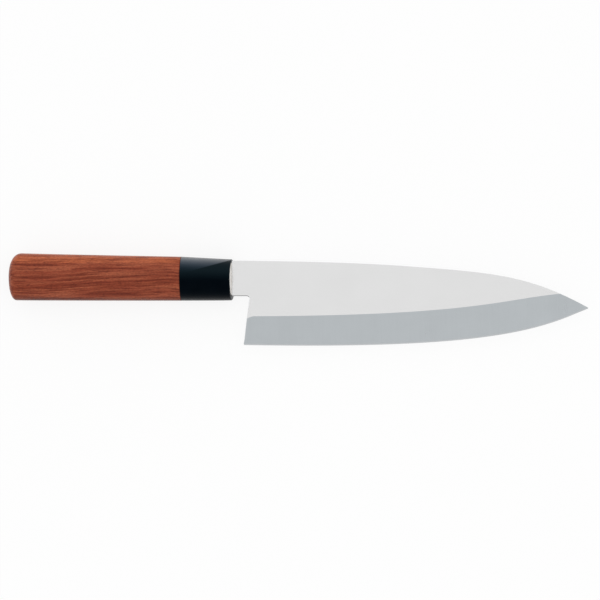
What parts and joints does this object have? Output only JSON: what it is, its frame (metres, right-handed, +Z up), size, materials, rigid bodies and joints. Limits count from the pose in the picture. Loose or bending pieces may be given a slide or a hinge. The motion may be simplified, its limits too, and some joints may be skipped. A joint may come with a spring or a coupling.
{
  "type": "deba knife",
  "caption": "Single-bevel kitchen knife with a deep steel blade, a black resin ferrule and a laminated wood handle, lying on its flat side with the bevel up.",
  "frame": {"origin": "middle of the bottom of the knife's box, as it lies with the back of its handle down", "axes": "+X towards the blade's tip, +Y towards the spine, +Z up out of the bevelled side of the blade"},
  "size_m": [0.2864, 0.0456, 0.0184],
  "materials": {
    "steel": "satin flat and back, finely ground bevel",
    "ferrule_resin": "semi-gloss black",
    "handle_wood": "resin-filled reddish laminated wood, satin",
    "bedding_resin": "cured amber resin",
    "seal_resin": "pale cured resin"
  },
  "bodies": {
    "root": {"blade": "steel", "ferrule": "ferrule_resin", "handle": "handle_wood", "tang_bedding": "bedding_resin", "mouth_seal": "seal_resin"}
  },
  "joints": []
}
